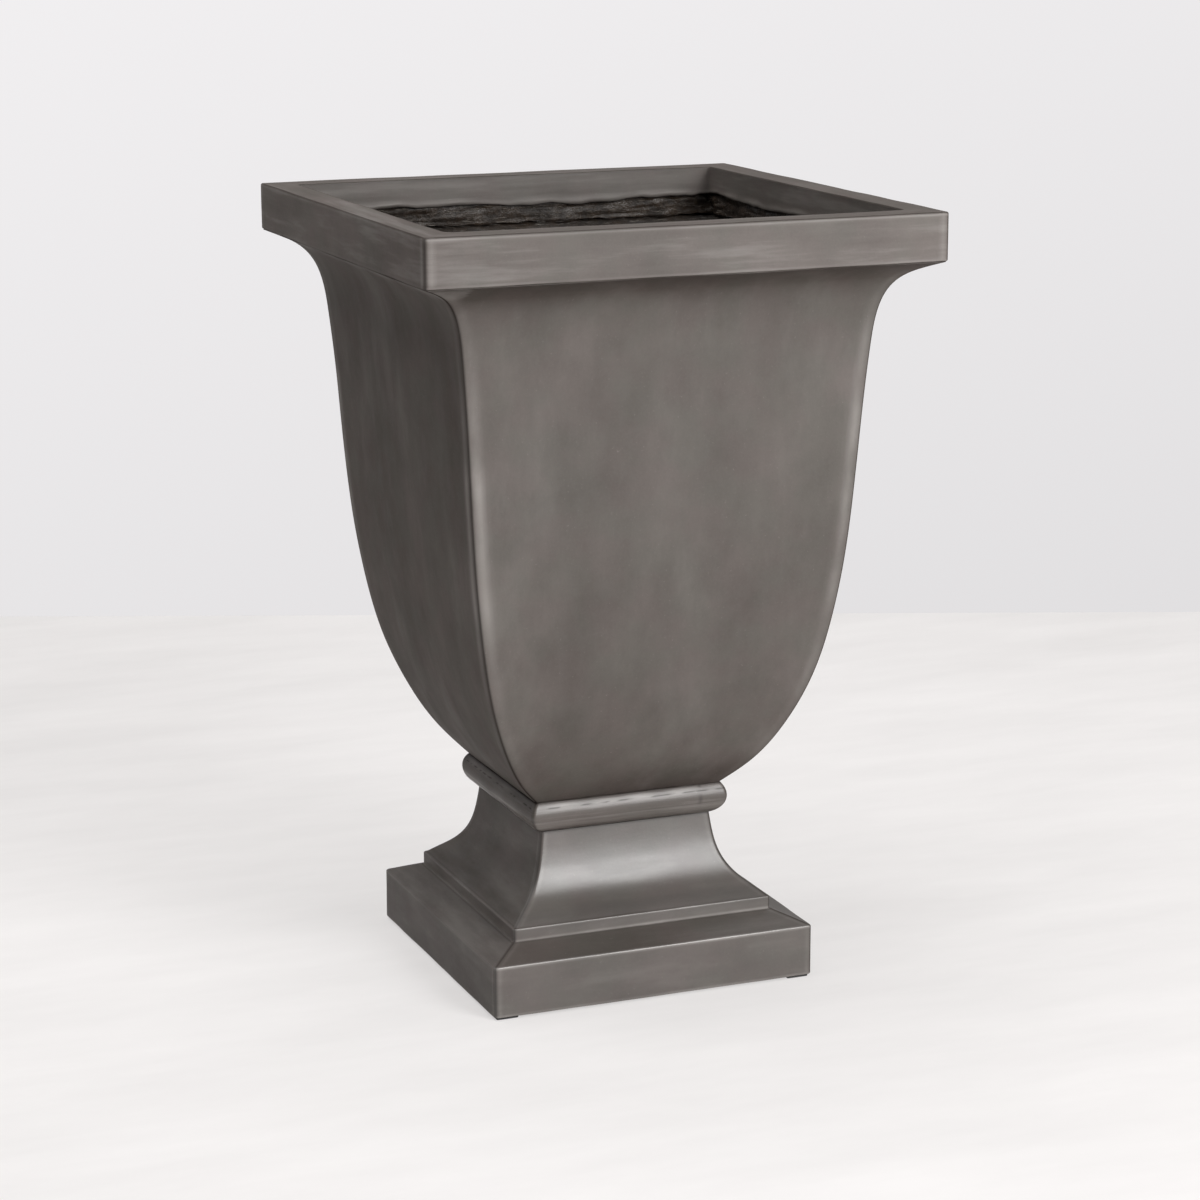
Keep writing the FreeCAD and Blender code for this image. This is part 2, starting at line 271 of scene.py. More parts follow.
def past_corner(rows):
    """How far each point of the carried surface is from the middle of its corner, round the ring."""
    half, _, corner = rows.T[..., None]
    on_side = (half - corner) * (1 - np.abs(2 * side_steps - 1)) + corner * math.pi / 4
    on_corner = corner * np.abs(corner_steps - math.pi / 4)
    return np.tile(np.hstack([on_side, on_corner]), 4)


def relief(points, size, seed):
    """Smooth random relief of about unit height: a sum of plane waves, each with its own seeded direction,
    phase and length about the size."""
    rng = np.random.default_rng(seed)
    direction = rng.normal(size=(20, 3))
    direction /= np.linalg.norm(direction, axis=1)[:, None]
    wave = direction * (2 * math.pi / size) * rng.uniform(0.6, 1.5, (20, 1))
    phase = rng.uniform(0, 2 * math.pi, 20)
    return np.cos(points @ wave.T + phase).sum(axis=-1) / math.sqrt(10)


def outward(points):
    """Unit normals of a carried surface: the cross product of its steps round and along."""
    round_step = np.roll(points, -1, axis=1) - np.roll(points, 1, axis=1)
    along_step = np.roll(points, -1, axis=0) - np.roll(points, 1, axis=0)
    normal = np.cross(round_step, along_step)
    return normal / np.maximum(np.linalg.norm(normal, axis=2, keepdims=True), 1e-12)


def dipped(points, size, seed, where=1.0):
    """The surface let in by up to twice the dip depth, in hollows about the size across."""
    depth = dip_depth * (1 + np.tanh(relief(points, size, seed))) * where
    return points - outward(points) * depth[..., None]


def lines(rows, *marks):
    """Soft lines round the piece: each mark is a spot on the outline, a width and a strength, and its
    strength fades with the square of the distance from the spot."""
    total = np.zeros((len(rows), 1))
    for half, height, width, strength in marks:
        apart = np.hypot(rows[:, 0] - half, rows[:, 1] - height)[:, None]
        total = np.maximum(total, strength * np.exp(-((apart / width) ** 2)))
    return total


def corner_line(rows, width, away=0.0):
    """One at a distance from the middle of each upright corner, and nought past about the width."""
    return np.exp(-(((past_corner(rows) - away) / width) ** 2))


def mostly_front(points):
    """One on the front side and a third on the other three: the pale edge lines, part wear and part painted
    highlight, are strongest on the front, which faces the light.
    """
    return np.clip((-points[..., 1] - np.abs(points[..., 0])) / 0.003 + 1, 0.33, 1)


def finished(name, mesh, material, body, node):
    """The mesh as a smooth piece with sharp edges kept, riding on its body in place of its CAD node."""
    mesh.shade_smooth()
    mesh.set_sharp_from_angle(angle=math.radians(42))
    mesh.materials.append(material)
    piece = bpy.data.objects.new(name, mesh)
    bpy.context.scene.collection.objects.link(piece)
    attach(piece, body)
    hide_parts(node)
    return piece


def skin(name, rows, points, material, body, node, slot, **paint):
    """A closed piece over a grid of points, its columns joined end to end and its rows too. Each paint is a
    value for every point, kept as an attribute, as are the run along the outline and how far the surface
    faces up."""
    count, columns = points.shape[:2]
    index = np.arange(count * columns).reshape(count, columns)
    index = np.vstack([index, index[:1]])
    beside = np.roll(index, -1, axis=1)
    faces = np.stack([index[:-1], beside[:-1], beside[1:], index[1:]], axis=2).reshape(-1, 4)
    mesh = bpy.data.meshes.new(name)
    mesh.from_pydata(points.reshape(-1, 3), [], faces)
    step = np.linalg.norm(rows[:, :2] - np.roll(rows[:, :2], 1, axis=0), axis=1)
    paint["run"] = np.cumsum(step)[:, None]
    paint["level"] = np.clip((outward(points)[..., 2] - 0.62) / 0.26, 0, 1)
    for label, value in paint.items():
        layer = mesh.attributes.new(label, "FLOAT", "POINT")
        layer.data.foreach_set("value", np.broadcast_to(value, (count, columns)).astype(np.float32).ravel())
    return finished(name, mesh, material, body, node)


def patina(name, streaks, rough, chalk, tone=1.0, gloss=0.45):
    """Lead-grey wax over a dark gel coat: cloudy, brushed in streaks, flecked, made pale where real wear and
    painted highlights are laid, and dark where real marks and painted shade are laid and on level faces as
    painted shade, with a sheen that fades at a grazing look.
    Streaks are per metre along X, Y and the outline, so a high last one makes brush marks that run round
    the piece, and high first ones make marks that run up it."""
    material, tree, output = blank(name)
    place = add(tree, "TexCoord").outputs["Object"]
    run, wear, grime, level = (
        add(tree, "Attribute", attribute_name=label).outputs["Fac"]
        for label in ("run", "wear", "grime", "level")
    )
    xyz = add(tree, "SeparateXYZ", {0: place}).outputs
    brushed = add(tree, "CombineXYZ", {0: xyz[0], 1: xyz[1], 2: run}).outputs[0]
    brushed = add(tree, "Mapping", {"Vector": brushed, "Scale": streaks}).outputs[0]
    cloud = noise(tree, place, 9.0, 9.0, 0.66)
    brush = noise(tree, brushed, 1.0, 7.0, 0.6)
    fleck = noise(tree, place, 420.0, 2.0, 0.6)
    cloudy, brushy = calc(tree, "MULTIPLY", cloud, cloud_share), calc(tree, "MULTIPLY", brush, brush_share)
    flecked = calc(tree, "MULTIPLY", calc(tree, "SUBTRACT", fleck, 0.5), fleck_share)
    depth = calc(tree, "ADD", calc(tree, "ADD", cloudy, brushy), flecked)
    dark, light = ([channel * tone for channel in colour] for colour in (wax_dark, wax_light))
    base = mixed(tree, span(tree, depth, 0.32, 0.68), dark, light)
    hue = span(tree, noise(tree, place, 22.0, 5.0), 0.40, 0.60)
    base = mixed(tree, 1.0, base, mixed(tree, hue, cool_tint, warm_tint), "MULTIPLY")
    base = mixed(tree, calc(tree, "MULTIPLY", span(tree, brush, 0.53, 0.70), chalk), base, chalky)
    base = mixed(tree, span(tree, fleck, 0.70, 0.76, 0.0, 0.35), base, chalky)
    # Pale where real wear and painted highlights are laid.
    lightening = calc(tree, "MULTIPLY", wear, span(tree, brush, 0.36, 0.60, 0.35, 1.0))
    base = mixed(tree, lightening, base, pale_wear_and_light)
    # Dark where real marks and painted shade are laid, and on level faces as painted shade.
    settled_and_shaded = calc(tree, "MAXIMUM", grime, calc(tree, "MULTIPLY", level, level_shade_share))
    base = mixed(tree, settled_and_shaded, base, shade_and_grime_dark)
    dull = calc(tree, "ADD", calc(tree, "MULTIPLY", brush, -0.22), rough + 0.11)
    dull = calc(tree, "ADD", dull, calc(tree, "MULTIPLY", settled_and_shaded, 0.22))
    marks = calc(tree, "ADD", calc(tree, "MULTIPLY", brush, 0.6), calc(tree, "MULTIPLY", fleck, 0.4))
    bump = add(tree, "Bump", {"Height": marks, "Strength": 0.35, "Distance": 0.0004}).outputs[0]
    facing = add(tree, "LayerWeight", {"Blend": 0.5}).outputs["Facing"]
    sheen = span(tree, facing, sheen_full_to, sheen_gone_from, gloss, sheen_least)
    inputs = {"Base Color": base, "Roughness": dull, "Normal": bump, "Specular IOR Level": sheen}
    shader = add(tree, "BsdfPrincipled", inputs)
    tree.links.new(shader.outputs[0], output.inputs["Surface"])
    return material


mouth_half = rim_half - rim_lip_width
leg_foot, leg_back = rim_top - rim_leg_depth, mouth_half + rim_wall
outer_centre, mouth_centre = rim_half - rim_corner, mouth_half - mouth_corner
foot, top, mouth = rim_foot_round, rim_top_round, rim_mouth_round
rim_inside, rim_under = rim_half - rim_wall, rim_top - rim_wall
lip_corners = (rim_corner - top, mouth_corner + mouth)
rim_rows = outline(
    (arc((rim_half - foot, rim_floor + foot), foot, -90, 0), outer_centre, True),
    (straight((rim_half, rim_floor + foot), (rim_half, rim_top - top), gap=0.002), outer_centre, True),
    (arc((rim_half - top, rim_top - top), top, 0, 90, 9), outer_centre, True),
    (straight((rim_half - top, rim_top), (mouth_half + mouth, rim_top), gap=0.0015), lip_corners),
    (arc((mouth_half + mouth, rim_top - mouth), mouth, 90, 180, 7), mouth_centre, True),
    (straight((mouth_half, rim_top - mouth), (mouth_half, leg_foot + mouth), gap=0.0012), mouth_centre, True),
    (arc((mouth_half + mouth, leg_foot + mouth), mouth, 180, 270, 5), mouth_centre, True),
    (straight((leg_back, leg_foot), (leg_back, rim_under), gap=0.012), mouth_centre, True),
    (straight((rim_inside, rim_under), (rim_inside, rim_floor), gap=0.012), rim_corner),
)
half, height = rim_rows[:, :1], rim_rows[:, 1:2]
over_lip = np.clip((rim_half - top - half) / (rim_lip_width - top - mouth), 0, 1)
points = carried_round(rim_rows, 1 + (np.array(mouth_softness) - 1) * over_lip)
down_leg = np.clip((rim_top - 0.010 - height) / 0.018, 0, 1) * (half < leg_back + 0.001)
level = points * (1, 1, 0)
wave = np.cos(2 * math.pi * (level[..., 0] + level[..., 1] - trim_wave_start) / trim_wave_length)
ragged = trim_raggedness * (relief(level, 0.060, 3) + 0.5 * relief(level, 0.017, 4))
points[..., 2] -= down_leg ** 2 * (trim_wave * wave + ragged)
rolled = np.exp(-(((height - leg_foot - 0.0035) / 0.0028) ** 2)) * (half < mouth_half + 0.001)
swell = trim_lip * rolled * np.clip(0.7 + 0.6 * relief(level, 0.045, 6), 0, 2)
points = dipped(points + outward(points) * swell[..., None], 0.09, 5)
on_outside = (half > rim_half - 0.003).astype(float)
# Pale lines along the rim's edges and on the inner leg's face: part wear, part painted highlight.
pale_edge_lines = lines(
    rim_rows,
    (rim_half, rim_top - 0.0027, 0.0009, 0.8),
    (rim_half, rim_floor + 0.0012, 0.0012, 0.35),
    (mouth_half, leg_foot + 0.0035, 0.0022, 0.40),
    (mouth_half, rim_top - 0.0130, 0.0140, 0.22),
)
# Dark lines along the top edges, under the inner leg and at the rim's foot: painted shade.
shade_lines = lines(
    rim_rows,
    (rim_half - 0.0013, rim_top - 0.0003, 0.0011, 0.9),
    (mouth_half + 0.0010, rim_top - 0.0003, 0.0014, 0.9),
    (mouth_half + 0.001, leg_foot - 0.0005, 0.0016, 0.9),
    (rim_half - 0.001, rim_floor, 0.0010, 0.5),
)
# On the outer faces the pale edge lines are weighted to the front, as painted highlight.
front_weight = np.where(half < mouth_half + 0.001, 1, mostly_front(points))
# A pale strip beside each upright corner is a painted highlight, and the dark line on the corner itself is a
# painted dark reflection.
corner_wear = 0.3 * on_outside * corner_line(rim_rows, 0.0030, 0.0062)
patina_rim = patina("patina_rim", rim_streaks, rough=0.55, chalk=0.45, tone=1.05)
skin(
    "rim", rim_rows, points, patina_rim, "planter", "rim_frame", "patinated_laminate",
    wear=np.maximum(pale_edge_lines * front_weight, corner_wear),
    grime=np.maximum(shade_lines, 0.75 * on_outside * corner_line(rim_rows, 0.0015)),
)

# ------------------------------------------------------------------------------
# Bonding laminate: chopped-strand mat and resin, laid by hand over the back of the rim's inner leg and the
# bowl's lip. It sits a few millimetres back from the leg's face, and is rough, dark and shiny in spots.
bond_half, _, bond_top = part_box("rim_bond_laminate")[1]
bond_face, bond_back, bond_ledge = mouth_half + 0.0044, leg_back + 0.004, rim_floor + 0.004
bond_lump, bond_ridge = 0.0010, 0.0006
strand_layers = (
    ((0, 0, 0), (50, 50, 620)),
    ((0.5, 0.4, 0), (60, 60, 560)),
    ((1.3, 0.9, 0.4), (70, 500, 500)),
)
strand_colour = (0.36, 0.32, 0.275)


def rough_laminate(name, dark, light, strand_share=0.5):
    """Resin-rich chopped strands: pale fibres, most of them lying level, drawn by stretched noise over dark
    resin, with wrinkles and pits as bump, and a wet gloss where the resin pooled."""
    material, tree, output = blank(name)
    place = add(tree, "TexCoord").outputs["Object"]
    lump = noise(tree, place, 55.0, 6.0, 0.7)
    strands = None
    for turn, scale in strand_layers:
        laid = add(tree, "Mapping", {"Vector": place, "Rotation": turn, "Scale": scale}).outputs[0]
        strand = noise(tree, laid, 1.0, 3.0)
        strands = strand if strands is None else calc(tree, "MAXIMUM", strands, strand)
    strands = span(tree, strands, 0.62, 0.74)
    pooled = span(tree, lump, 0.42, 0.62)
    base = mixed(tree, pooled, dark, light)
    base = mixed(tree, calc(tree, "MULTIPLY", strands, strand_share), base, strand_colour)
    shine = span(tree, pooled, 0.0, 1.0, 0.55, 0.28)
    height = calc(tree, "ADD", lump, calc(tree, "MULTIPLY", strands, 0.30))
    bump = add(tree, "Bump", {"Height": height, "Strength": 0.9, "Distance": 0.003}).outputs[0]
    shader = add(tree, "BsdfPrincipled", {"Base Color": base, "Roughness": shine, "Normal": bump})
    tree.links.new(shader.outputs[0], output.inputs["Surface"])
    return material


bond_rows = outline(
    (straight((bond_half, bond_ledge), (bond_back, bond_ledge), gap=0.004), mouth_centre, True),
    (straight((bond_back, bond_ledge), (bond_back, bond_top), gap=0.004), mouth_centre, True),
    (straight((leg_back, bond_top), (leg_back, leg_foot + 0.001), gap=0.004), mouth_centre, True),
    (straight((bond_face, leg_foot + 0.001), (bond_face, rim_floor - 0.003), gap=0.0008), mouth_centre, True),
    (straight((bond_face + 0.004, rim_floor - 0.001), (bond_half, rim_floor), gap=0.004), mouth_centre, True),
)
half, height = bond_rows[:, :1], bond_rows[:, 1:2]
points = carried_round(bond_rows, mouth_softness)
on_face = (half < bond_face + 0.0005) & (height < leg_foot + 0.0005)
ridges = np.abs(relief(points * (1, 1, 6), 0.055, 13))
push = bond_lump * relief(points, 0.035, 11) + bond_ridge * (relief(points, 0.009, 12) + ridges)
points += outward(points) * (np.clip(push, -0.0014, 0.0026) * on_face)[..., None]
bond_resin = rough_laminate("bond_resin", (0.017, 0.0105, 0.0064), (0.055, 0.038, 0.026), 0.60)
skin("bond", bond_rows, points, bond_resin, "planter", "rim_bond_laminate", "rough_laminate")

# ------------------------------------------------------------------------------
# Bowl: a thin square shell, moulded in one piece. Its side is an ogee, a full belly that sweeps out into a
# flare under the rim. Outside it has the brushed patina; inside it is bare laminate, and its floor has a
# drain hole.
bowl_low, bowl_high = (np.array(corner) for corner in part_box("bowl_shell"))
bowl_foot, bowl_lip, lip_half = bowl_low[2], bowl_high[2], bowl_high[0]
foot_half = 0.0973
belly_stations = [(0.1195, 0.024), (0.144, 0.0637), (0.164, 0.114), (0.1802, 0.187), (0.1913, 0.283)]
flare_stations = [(0.056, 0.1464), (0.0503, 0.0784), (0.045, 0.0434)]
flare_stations += [(0.038, 0.0255), (0.0286, 0.0144), (0.0155, 0.0065)]
lip_edge, bowl_wall, bowl_base = 0.0006, 0.006, 0.008
bowl_arris, inner_arris, floor_cove = 0.0036, 0.009, 0.006
drain_radius, drain_ease, drain_round_from = 0.0125, 0.001, 0.045
bowl_lump, bowl_grain = 0.0009, 0.0006
bowl_streaks = (18.0, 18.0, 6.0)
arris_lit, arris_fade, arris_least = 0.50, 0.16, 0.15
# Distances over which painted shade fades: just under the rim, farther below the rim, and above the foot.
rim_shade_fall, rim_wide_shade_fall, foot_shade_fall = 0.016, 0.080, 0.012
glue_marks = [(-0.228, -0.2445, 0.7078, 0.0085, 0.0013, 1.0), (-0.2175, -0.232, 0.6846, 0.0016, 0.0035, 0.7)]


def smooth_line(stations, count):
    """A natural cubic spline through the stations, with the distance from station to station as its
    parameter: its second derivatives solve the usual three-term equations and are nought at both ends."""
    stations = np.array(stations)
    place = np.concatenate([[0], np.cumsum(np.linalg.norm(np.diff(stations, axis=0), axis=1))])
    gap = np.diff(place)[:, None]
    slope = np.diff(stations, axis=0) / gap
    size = len(stations)
    system = np.eye(size)
    right = np.zeros((size, 2))
    inner = np.arange(1, size - 1)
    system[inner, inner - 1] = gap[:-1, 0]
    system[inner, inner] = 2 * (gap[:-1, 0] + gap[1:, 0])
    system[inner, inner + 1] = gap[1:, 0]
    right[1:-1] = 6 * np.diff(slope, axis=0)
    bend = np.linalg.solve(system, right)
    at = np.linspace(0, place[-1], count)
    part = np.clip(np.searchsorted(place, at) - 1, 0, size - 2)
    ahead, back, wide = (place[part + 1] - at)[:, None], (at - place[part])[:, None], gap[part]
    curve = (bend[part] * ahead ** 3 + bend[part + 1] * back ** 3) / (6 * wide)
    curve += (stations[part] / wide - bend[part] * wide / 6) * ahead
    return curve + (stations[part + 1] / wide - bend[part + 1] * wide / 6) * back


def set_in(points, wall):
    """The points moved square to their own line by a wall, to its left as it is read."""
    along = np.gradient(points, axis=0)
    along /= np.linalg.norm(along, axis=1)[:, None]
    return points + np.column_stack([-along[:, 1], along[:, 0]]) * wall


def spots(points, marks):
    """Small soft marks: each has a place, a half length along X, a half height and a strength."""
    total = np.zeros(points.shape[:2])
    for x, y, z, length, rise, strength in marks:
        apart = (points - (x, y, z)) / (length, 0.006, rise)
        total = np.maximum(total, strength * np.exp(-(apart ** 2).sum(axis=2)))
    return total


def two_finishes(piece, second, columns, rows_from, rows_to):
    """The piece's second material, on the faces between two rows of its grid."""
    piece.data.materials.append(second)
    row = np.arange(len(piece.data.polygons)) // columns
    piece.data.polygons.foreach_set("material_index", ((row >= rows_from) & (row < rows_to)).astype(np.int32))


lip = (lip_half, bowl_lip - lip_edge)
stations = [(foot_half, bowl_foot)]
stations += [(half_width, bowl_foot + above) for half_width, above in belly_stations]
stations += [(lip[0] - inwards, lip[1] - below) for inwards, below in flare_stations]
side = smooth_line(stations + [lip], 160)
inside = set_in(side, bowl_wall)[::-1]
inside = inside[(inside[:, 1] < bowl_lip) & (inside[:, 1] > bowl_foot + bowl_base + floor_cove)]
cove_half, floor_level = inside[-1, 0] - 0.004, bowl_foot + bowl_base
drain_edge, drain_corner = drain_radius + drain_ease, 0.6 * drain_radius
drain_head, drain_foot = floor_level - drain_ease, bowl_foot + drain_ease
bowl_rows = outline(
    (side, bowl_arris),
    (straight((lip_half, bowl_lip), (inside[0, 0] + 0.003, bowl_lip), gap=0.004), bowl_arris),
    (inside, inner_arris),
    (arc((cove_half - floor_cove, floor_level + floor_cove), floor_cove, -30, -90, 5), inner_arris),
    (straight((cove_half - 2 * floor_cove, floor_level), (drain_edge, floor_level), gap=0.003), inner_arris),
    (straight((drain_radius, drain_head), (drain_radius, drain_foot), gap=0.003), drain_corner),
    (straight((drain_edge, bowl_foot), (foot_half - 0.001, bowl_foot), gap=0.01), bowl_arris),
)
half, height = bowl_rows[:, :1], bowl_rows[:, 1:2]
order = np.arange(len(bowl_rows))[:, None]
inside_from = len(side) + np.flatnonzero(height[len(side):, 0] < bowl_lip - 1e-6)[0]
inside_to = np.flatnonzero(height[:, 0] > floor_level - 1e-6)[-1]
is_side, is_inside = order < len(side), (order >= inside_from) & (order <= inside_to)
points = carried_round(bowl_rows)
round_share = np.clip((drain_round_from - half) / (drain_round_from - drain_edge), 0, 1)[..., None] ** 2
to_circle = half[..., None] / np.linalg.norm(points[..., :2], axis=2, keepdims=True)
points[..., :2] *= 1 + (to_circle - 1) * round_share
fray = is_inside * np.clip((half - drain_radius) / 0.03, 0, 1)
fray *= np.clip((lip_half - 0.014 - half) / 0.02, 0, 1)
fray *= np.where(height < floor_level + 0.004, 0.35, 1)
rough = bowl_lump * relief(points, 0.05, 21) + bowl_grain * relief(points, 0.012, 22)
points = dipped(points + outward(points) * (fray * rough)[..., None], 0.12, 23, is_side)
# The pale strip beside each arris, strongest about the arris_lit height, is a painted highlight.
lit_share = np.exp(-(((height - arris_lit) / arris_fade) ** 2)) + arris_least
arris_highlight = corner_line(bowl_rows, 0.0055, 0.0078) * (0.85 + 0.15 * relief(points, 0.06, 24))
below = rim_floor - height
# Painted shade: a dark line on each arris, shade above the collar joint, and the rim's shadow on the upper
# bowl.
settled_and_shaded = 0.85 * corner_line(bowl_rows, 0.0011) + 0.35 * np.exp(-(height - bowl_foot) / foot_shade_fall)
settled_and_shaded += 0.4 * np.exp(-below / rim_shade_fall) + 0.16 * np.exp(-below / rim_wide_shade_fall)
# The underside of the left flare is painted lighter as painted bounce light from the floor.
left_flare_bounce = 0.75 * np.exp(-(((below - 0.006) / 0.007) ** 2)) * (points[..., 0] < -0.21)
# The glue marks are real filler; the arris strip and the left flare are painted light.
lightening = 0.55 * arris_highlight * lit_share + left_flare_bounce + spots(points, glue_marks)
patina_bowl = patina("patina_bowl", bowl_streaks, rough=0.60, chalk=0.12)
bowl_resin = rough_laminate("bowl_resin", (0.012, 0.0084, 0.0060), (0.037, 0.027, 0.020), 0.35)
bowl = skin(
    "bowl", bowl_rows, points, patina_bowl, "planter", "bowl_shell", "patinated_laminate",
    wear=np.clip(is_side * lightening, 0, 1),
    grime=np.clip(is_side * settled_and_shaded, 0, 1),
)
two_finishes(bowl, bowl_resin, points.shape[1], inside_from - 1, inside_to + 1)

# ------------------------------------------------------------------------------
# Collar: a half-round bead cast as its own square ring, bedded between bowl and pedestal. Its crown is
# waxed to a shine and worn pale in patches, and a hairline crack crosses the front near its right end.
collar_low, collar_high = (np.array(corner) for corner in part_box("neck_collar"))
collar_foot, collar_head, bead_half = collar_low[2], collar_high[2], collar_high[0]
neck_half, collar_way, way_corner = 0.0893, 0.060, 0.008
bead_full, collar_arris = 0.017, 0.004
hairline_place, hairline_width = 0.0737, 0.0006
crown_height, crown_width, pit_height, pit_width = 0.0285, 0.0030, 0.0262, 0.0006
collar_streaks = (7.0, 7.0, 150.0)


def through(first, middle, last, count):
    """Points on the circle through three points: its centre is where two chords' bisectors meet."""
    first, middle, last = (np.array(spot) for spot in (first, middle, last))
    chords = 2 * np.array([middle - first, last - first])
    centre = np.linalg.solve(chords, [middle @ middle - first @ first, last @ last - first @ first])
    angles = [math.degrees(math.atan2(*(spot - centre)[::-1])) for spot in (first, last)]
    return arc(centre, np.linalg.norm(first - centre), *angles, count)


bead = through((neck_half, collar_foot), (bead_half, collar_foot + bead_full), (foot_half, collar_head), 41)
collar_rows = outline(
    (bead, collar_arris),
    (straight((foot_half - 0.001, collar_head), (collar_way + 0.001, collar_head), gap=0.01), way_corner),
    (straight((collar_way, collar_head - 0.001), (collar_way, collar_foot + 0.001), gap=0.008), way_corner),
    (straight((collar_way + 0.001, collar_foot), (neck_half - 0.001, collar_foot), gap=0.01), collar_arris),
)
on_bead = np.arange(len(collar_rows))[:, None] < len(bead)
points = dipped(carried_round(collar_rows), 0.04, 31, on_bead)
above = points[..., 2] - collar_foot
crown = np.exp(-(((above - crown_height) / crown_width) ** 2))
patchy = np.clip(0.55 + 0.45 * relief(points * (1, 1, 0.3), 0.045, 32), 0, 1)
pits = np.exp(-(((above - pit_height) / pit_width) ** 2)) * np.clip(relief(points, 0.012, 33) * 1.5, 0, 1)
on_front = points[..., 1] < -foot_half * 0.9
hairline = np.exp(-(((points[..., 0] - hairline_place) / hairline_width) ** 2)) * on_front
# Dark lines at the top and bottom joints and on the corners are painted shade; the pits and the hairline
# crack are real marks.
joint_shade = np.exp(-(collar_head - points[..., 2]) / 0.0010) + np.exp(-above / 0.0012)
dark_marks_and_shade = joint_shade + 0.8 * pits + 0.6 * hairline * (above > 0.008) + 0.5 * corner_line(collar_rows, 0.0012)
patina_collar = patina("patina_collar", collar_streaks, rough=0.32, chalk=0.5, gloss=0.56)
skin(
    "collar", collar_rows, points, patina_collar, "planter", "neck_collar", "patinated_laminate",
    # Below 13 mm the bead is made paler as a painted reflection of the floor; the crown's pale patches are
    # wear.
    wear=on_bead * np.maximum(0.6 * crown * patchy, 0.4 * (above < 0.013)),
    grime=np.clip(on_bead * dark_marks_and_shade, 0, 1),
)

# ------------------------------------------------------------------------------
# Pedestal: one hollow moulding of plinth, sloped shoulder, upright band and cove. A flange at its top takes
# the bolts and one at its foot takes the pads. Every upper edge carries a pale line, part wear and part
# painted highlight, its joints carry dark lines of painted shade, and on the left side the shoulder, band
# and low cove are painted lighter, as painted light.
pedestal_low, pedestal_high = (np.array(corner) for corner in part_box("pedestal_shell"))
plinth_foot, neck_top, plinth_half = pedestal_low[2], pedestal_high[2], pedestal_high[0]
band_half = 0.135
plinth_rise, shoulder_rise, band_rise = 0.051, 0.0125, 0.0125
cove_ledge = 0.0017
cove_stations = [(0.1246, 0.007), (0.110, 0.0192), (0.1002, 0.033), (0.0927, 0.0565)]
pedestal_wall, top_flange, foot_flange, flange_width = 0.006, 0.008, 0.006, 0.024
pedestal_arris, hollow_arris = 0.004, 0.006
plinth_round, band_round = 0.0020, 0.0012
pedestal_streaks = (8.0, 8.0, 40.0)
# Strength and reach above the cove's foot of the painted light on the left side.
left_light_share, left_light_rise = 0.28, 0.030

shoulder_foot = plinth_foot + plinth_rise
band_foot, cove_foot = shoulder_foot + shoulder_rise, shoulder_foot + shoulder_rise + band_rise
slope = math.atan2(shoulder_rise, plinth_half - band_half)
bend = math.radians(90) - slope
plinth_centre = np.array([plinth_half - plinth_round, shoulder_foot - plinth_round * math.tan(bend / 2)])
shoulder_start = plinth_centre + plinth_round * np.array([math.cos(bend), math.sin(bend)])
cove = smooth_line(
    [(band_half - cove_ledge, cove_foot)]
    + [(half_width, cove_foot + above_foot) for half_width, above_foot in cove_stations]
    + [(neck_half, neck_top)],
    70,
)
cove_inside = set_in(cove, pedestal_wall)[::-1]
cove_inside = cove_inside[cove_inside[:, 1] < neck_top - top_flange]
lowered = pedestal_wall * (math.tan(slope) - 1 / math.cos(slope))
inner_plinth, inner_band = plinth_half - pedestal_wall, band_half - pedestal_wall
flange_edge = plinth_half - flange_width
plinth_low, band_high = plinth_foot + plinth_round, cove_foot - band_round
under_flange, over_foot = neck_top - top_flange, plinth_foot + foot_flange
pedestal_rows = outline(
    (arc((plinth_half - plinth_round, plinth_low), plinth_round, -90, 0), pedestal_arris),
    (straight((plinth_half, plinth_low), (plinth_half, plinth_centre[1]), gap=0.002), pedestal_arris),
    (arc(plinth_centre, plinth_round, 0, math.degrees(bend)), pedestal_arris),
    (straight(shoulder_start, (band_half, band_foot), gap=0.0015), pedestal_arris),
    (straight((band_half, band_foot), (band_half, band_high), gap=0.0012), pedestal_arris),
    (arc((band_half - band_round, band_high), band_round, 0, 90, 6), pedestal_arris),
    (cove, pedestal_arris),
    (straight((neck_half - 0.001, neck_top), (collar_way + 0.001, neck_top), gap=0.01), way_corner),
    (straight((collar_way, neck_top - 0.001), (collar_way, under_flange), gap=0.004), way_corner),
    (straight((collar_way + 0.001, under_flange), (cove_inside[0, 0] - 0.001, under_flange)), hollow_arris),
    (cove_inside, hollow_arris),
    (straight((inner_band, cove_inside[-1, 1]), (inner_band, band_foot + lowered), gap=0.006), hollow_arris),
    (straight((inner_plinth, shoulder_foot + lowered), (inner_plinth, over_foot), gap=0.01), hollow_arris),
    (straight((flange_edge, over_foot), (flange_edge, plinth_foot)), hollow_arris),
)
outside_to = np.flatnonzero(pedestal_rows[:, 1] > neck_top - 1e-6)[0]
is_outside = np.arange(len(pedestal_rows))[:, None] <= outside_to
points = dipped(carried_round(pedestal_rows), 0.07, 41, is_outside)
points[..., 2] = np.maximum(points[..., 2], plinth_foot)
# Pale lines on the upper edges, the band and the plinth's foot: part wear, part painted highlight.
pale_edge_lines = lines(
    pedestal_rows,
    (plinth_half - 0.0004, shoulder_foot - 0.0008, 0.0013, 0.9),
    (plinth_half, plinth_foot + 0.0012, 0.0012, 0.6),
    (band_half, band_foot + 0.0009, 0.0014, 1.0),
    (band_half, band_foot + 0.0060, 0.0070, 0.2),
    (band_half - 0.0004, cove_foot - 0.0006, 0.0011, 0.85),
)
